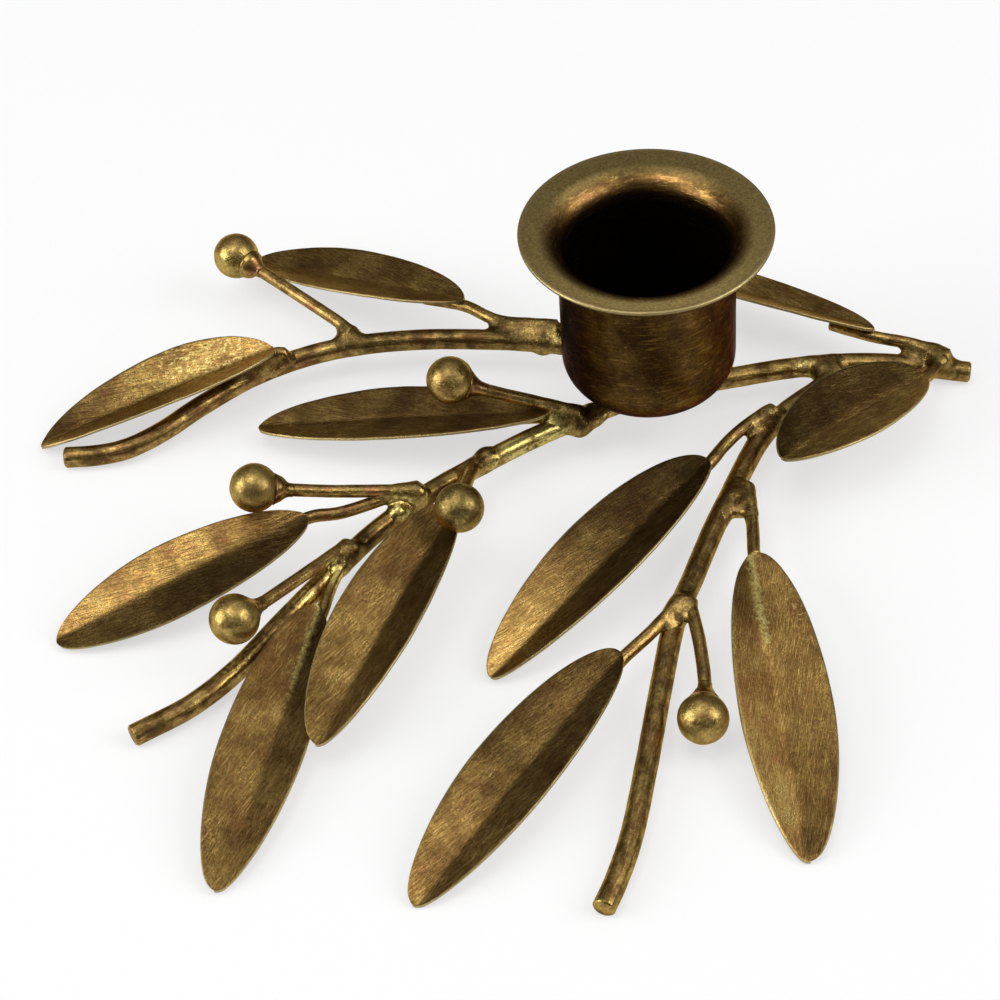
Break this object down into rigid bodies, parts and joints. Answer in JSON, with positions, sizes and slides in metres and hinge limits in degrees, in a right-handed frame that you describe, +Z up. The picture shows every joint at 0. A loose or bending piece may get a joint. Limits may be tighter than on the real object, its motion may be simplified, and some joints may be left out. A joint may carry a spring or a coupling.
{
  "type": "candle holder",
  "caption": "Low single-candle holder shaped as an olive branch: a flared cup on three bent rods with folded sheet leaves and small ball berries.",
  "frame": {"origin": "bottom centre of the whole object's bounding box, on the table", "axes": "+Z up along the candle cup's axis, +X along the branch towards its right end, +Y to the back, away from the low front leaves"},
  "size_m": [0.1336, 0.1274, 0.0335],
  "materials": {
    "cup": "dark antique patina, brushed around the axis",
    "stem": "mottled antique patina, worn bright along the top",
    "leaf": "antique patina with fine scratches",
    "wire": "antique patina",
    "berry": "satin antique patina, faintly hammered",
    "solder": "uneven brazed metal, partly bright"
  },
  "bodies": {
    "root": {"candle_cup": "cup", "main_stem": "stem", "left_stem": "stem", "front_stem": "stem", "leaf_left_back": "leaf", "leaf_left_end": "leaf", "leaf_middle_back": "leaf", "leaf_middle_left": "leaf", "leaf_middle_right": "leaf", "leaf_middle_end": "leaf", "leaf_front_left": "leaf", "leaf_front_right": "leaf", "leaf_front_end": "leaf", "leaf_right_front": "leaf", "leaf_right_back": "leaf", "leaf_left_back_wire": "wire", "leaf_left_end_wire": "wire", "leaf_middle_back_wire": "wire", "leaf_middle_left_wire": "wire", "leaf_middle_right_wire": "wire", "leaf_middle_end_wire": "wire", "leaf_front_left_wire": "wire", "leaf_front_right_wire": "wire", "leaf_front_end_wire": "wire", "leaf_right_front_wire": "wire", "leaf_right_back_wire": "wire", "berry_left": "berry", "berry_middle_back": "berry", "berry_middle_left": "berry", "berry_middle_right": "berry", "berry_middle_end": "berry", "berry_front": "berry", "berry_left_wire": "wire", "berry_middle_back_wire": "wire", "berry_middle_left_wire": "wire", "berry_middle_right_wire": "wire", "berry_middle_end_wire": "wire", "berry_front_wire": "wire", "left_stem_solder": "solder", "main_stem_solder": "solder", "front_stem_solder": "solder", "right_end_solder": "solder", "cup_solder": "solder", "berry_collars": "solder"}
  },
  "joints": []
}
